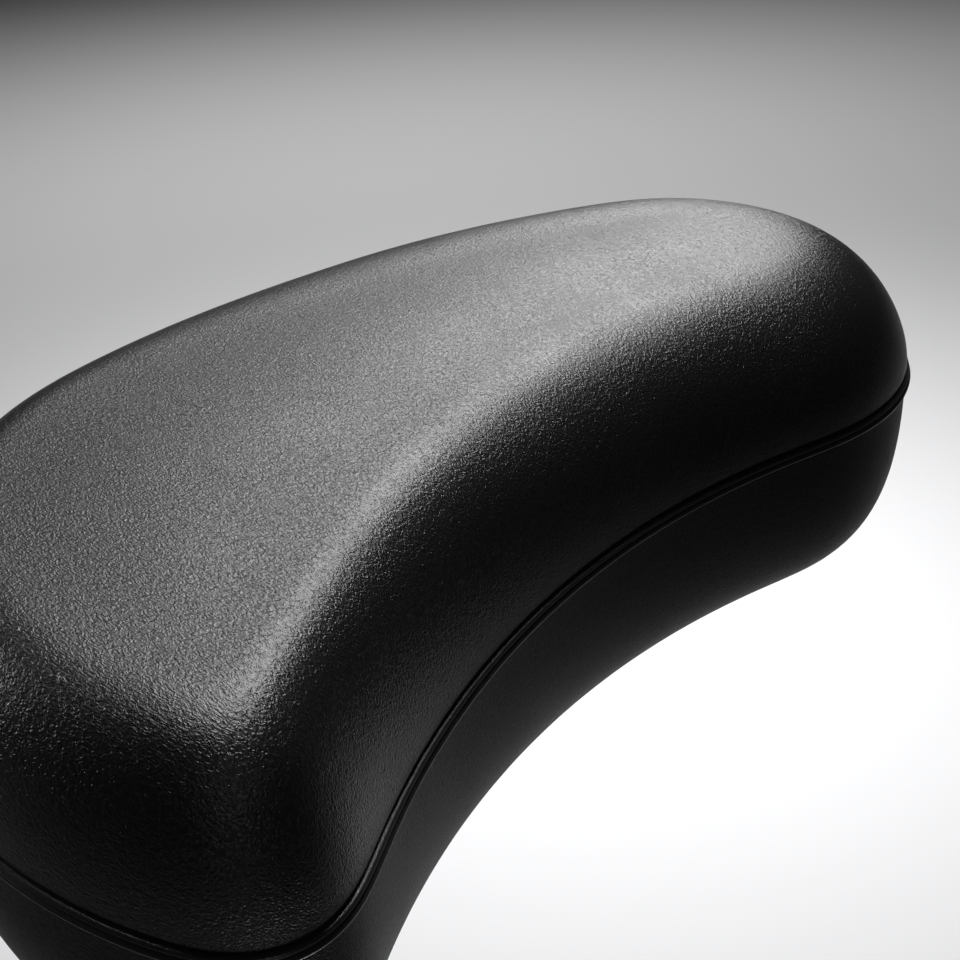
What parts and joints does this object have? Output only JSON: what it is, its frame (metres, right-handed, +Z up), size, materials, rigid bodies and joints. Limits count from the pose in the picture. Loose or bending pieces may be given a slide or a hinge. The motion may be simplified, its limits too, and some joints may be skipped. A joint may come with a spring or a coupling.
{
  "type": "chair armrest pad",
  "caption": "Curved padded chair armrest with a black grained cover and a seam welt, on a swivel and slide base with click stops.",
  "frame": {"origin": "centre of the swivel base's underside, on the swivel axis", "axes": "+X along the pad from its broad heel to its nose, -Y towards the pad's hollow side, +Z up"},
  "size_m": [0.2007, 0.1122, 0.056],
  "materials": {
    "cover": "fine pebble grain, satin",
    "welt": "smooth, satin, two ridges",
    "foam": "moulded polyurethane foam",
    "carrier_plastic": "glass filled, matt",
    "trim_plastic": "spark textured, matt",
    "slide_plastic": "natural acetal",
    "black_steel": "black powder coat",
    "cast_metal": "die cast, tumbled",
    "zinc_steel": "zinc plated",
    "spring_steel": "blued spring steel",
    "black_screws": "black oxide",
    "bush_brass": "turned",
    "bumper_rubber": "matt"
  },
  "bodies": {
    "base": {"swivel_base": "cast_metal", "pivot_bolt": "zinc_steel", "pivot_nut": "zinc_steel", "stop_pin": "zinc_steel", "lower_thrust_washer": "slide_plastic", "disc_springs": "spring_steel", "upper_thrust_washer": "zinc_steel"},
    "carriage": {"carriage_plate": "black_steel", "swivel_bush": "bush_brass", "outer_guide_strip": "slide_plastic", "inner_guide_strip": "slide_plastic", "detent_leaf": "spring_steel", "leaf_rivets": "zinc_steel"},
    "pad": {"outer_slide_channel": "zinc_steel", "inner_slide_channel": "zinc_steel", "channel_screws": "zinc_steel", "thread_inserts": "bush_brass", "detent_rack": "slide_plastic", "rack_screws": "zinc_steel", "nose_bumper": "bumper_rubber", "heel_bumper": "bumper_rubber", "carrier": "carrier_plastic", "foam_core": "foam", "upper_cover": "cover", "lower_cover": "cover", "seam_welt": "welt", "underside_trim": "trim_plastic", "trim_screws": "black_screws", "cover_staples": "zinc_steel"}
  },
  "joints": [
    {"name": "swivel", "type": "hinge", "parent": "base", "child": "carriage", "pos_m": [0, 0, 0], "axis": [0, 0, 1], "range_deg": [-20, 20]},
    {"name": "slide", "type": "slide", "parent": "carriage", "child": "pad", "axis": [1, 0, 0], "range_m": [-0.02, 0.02]}
  ]
}
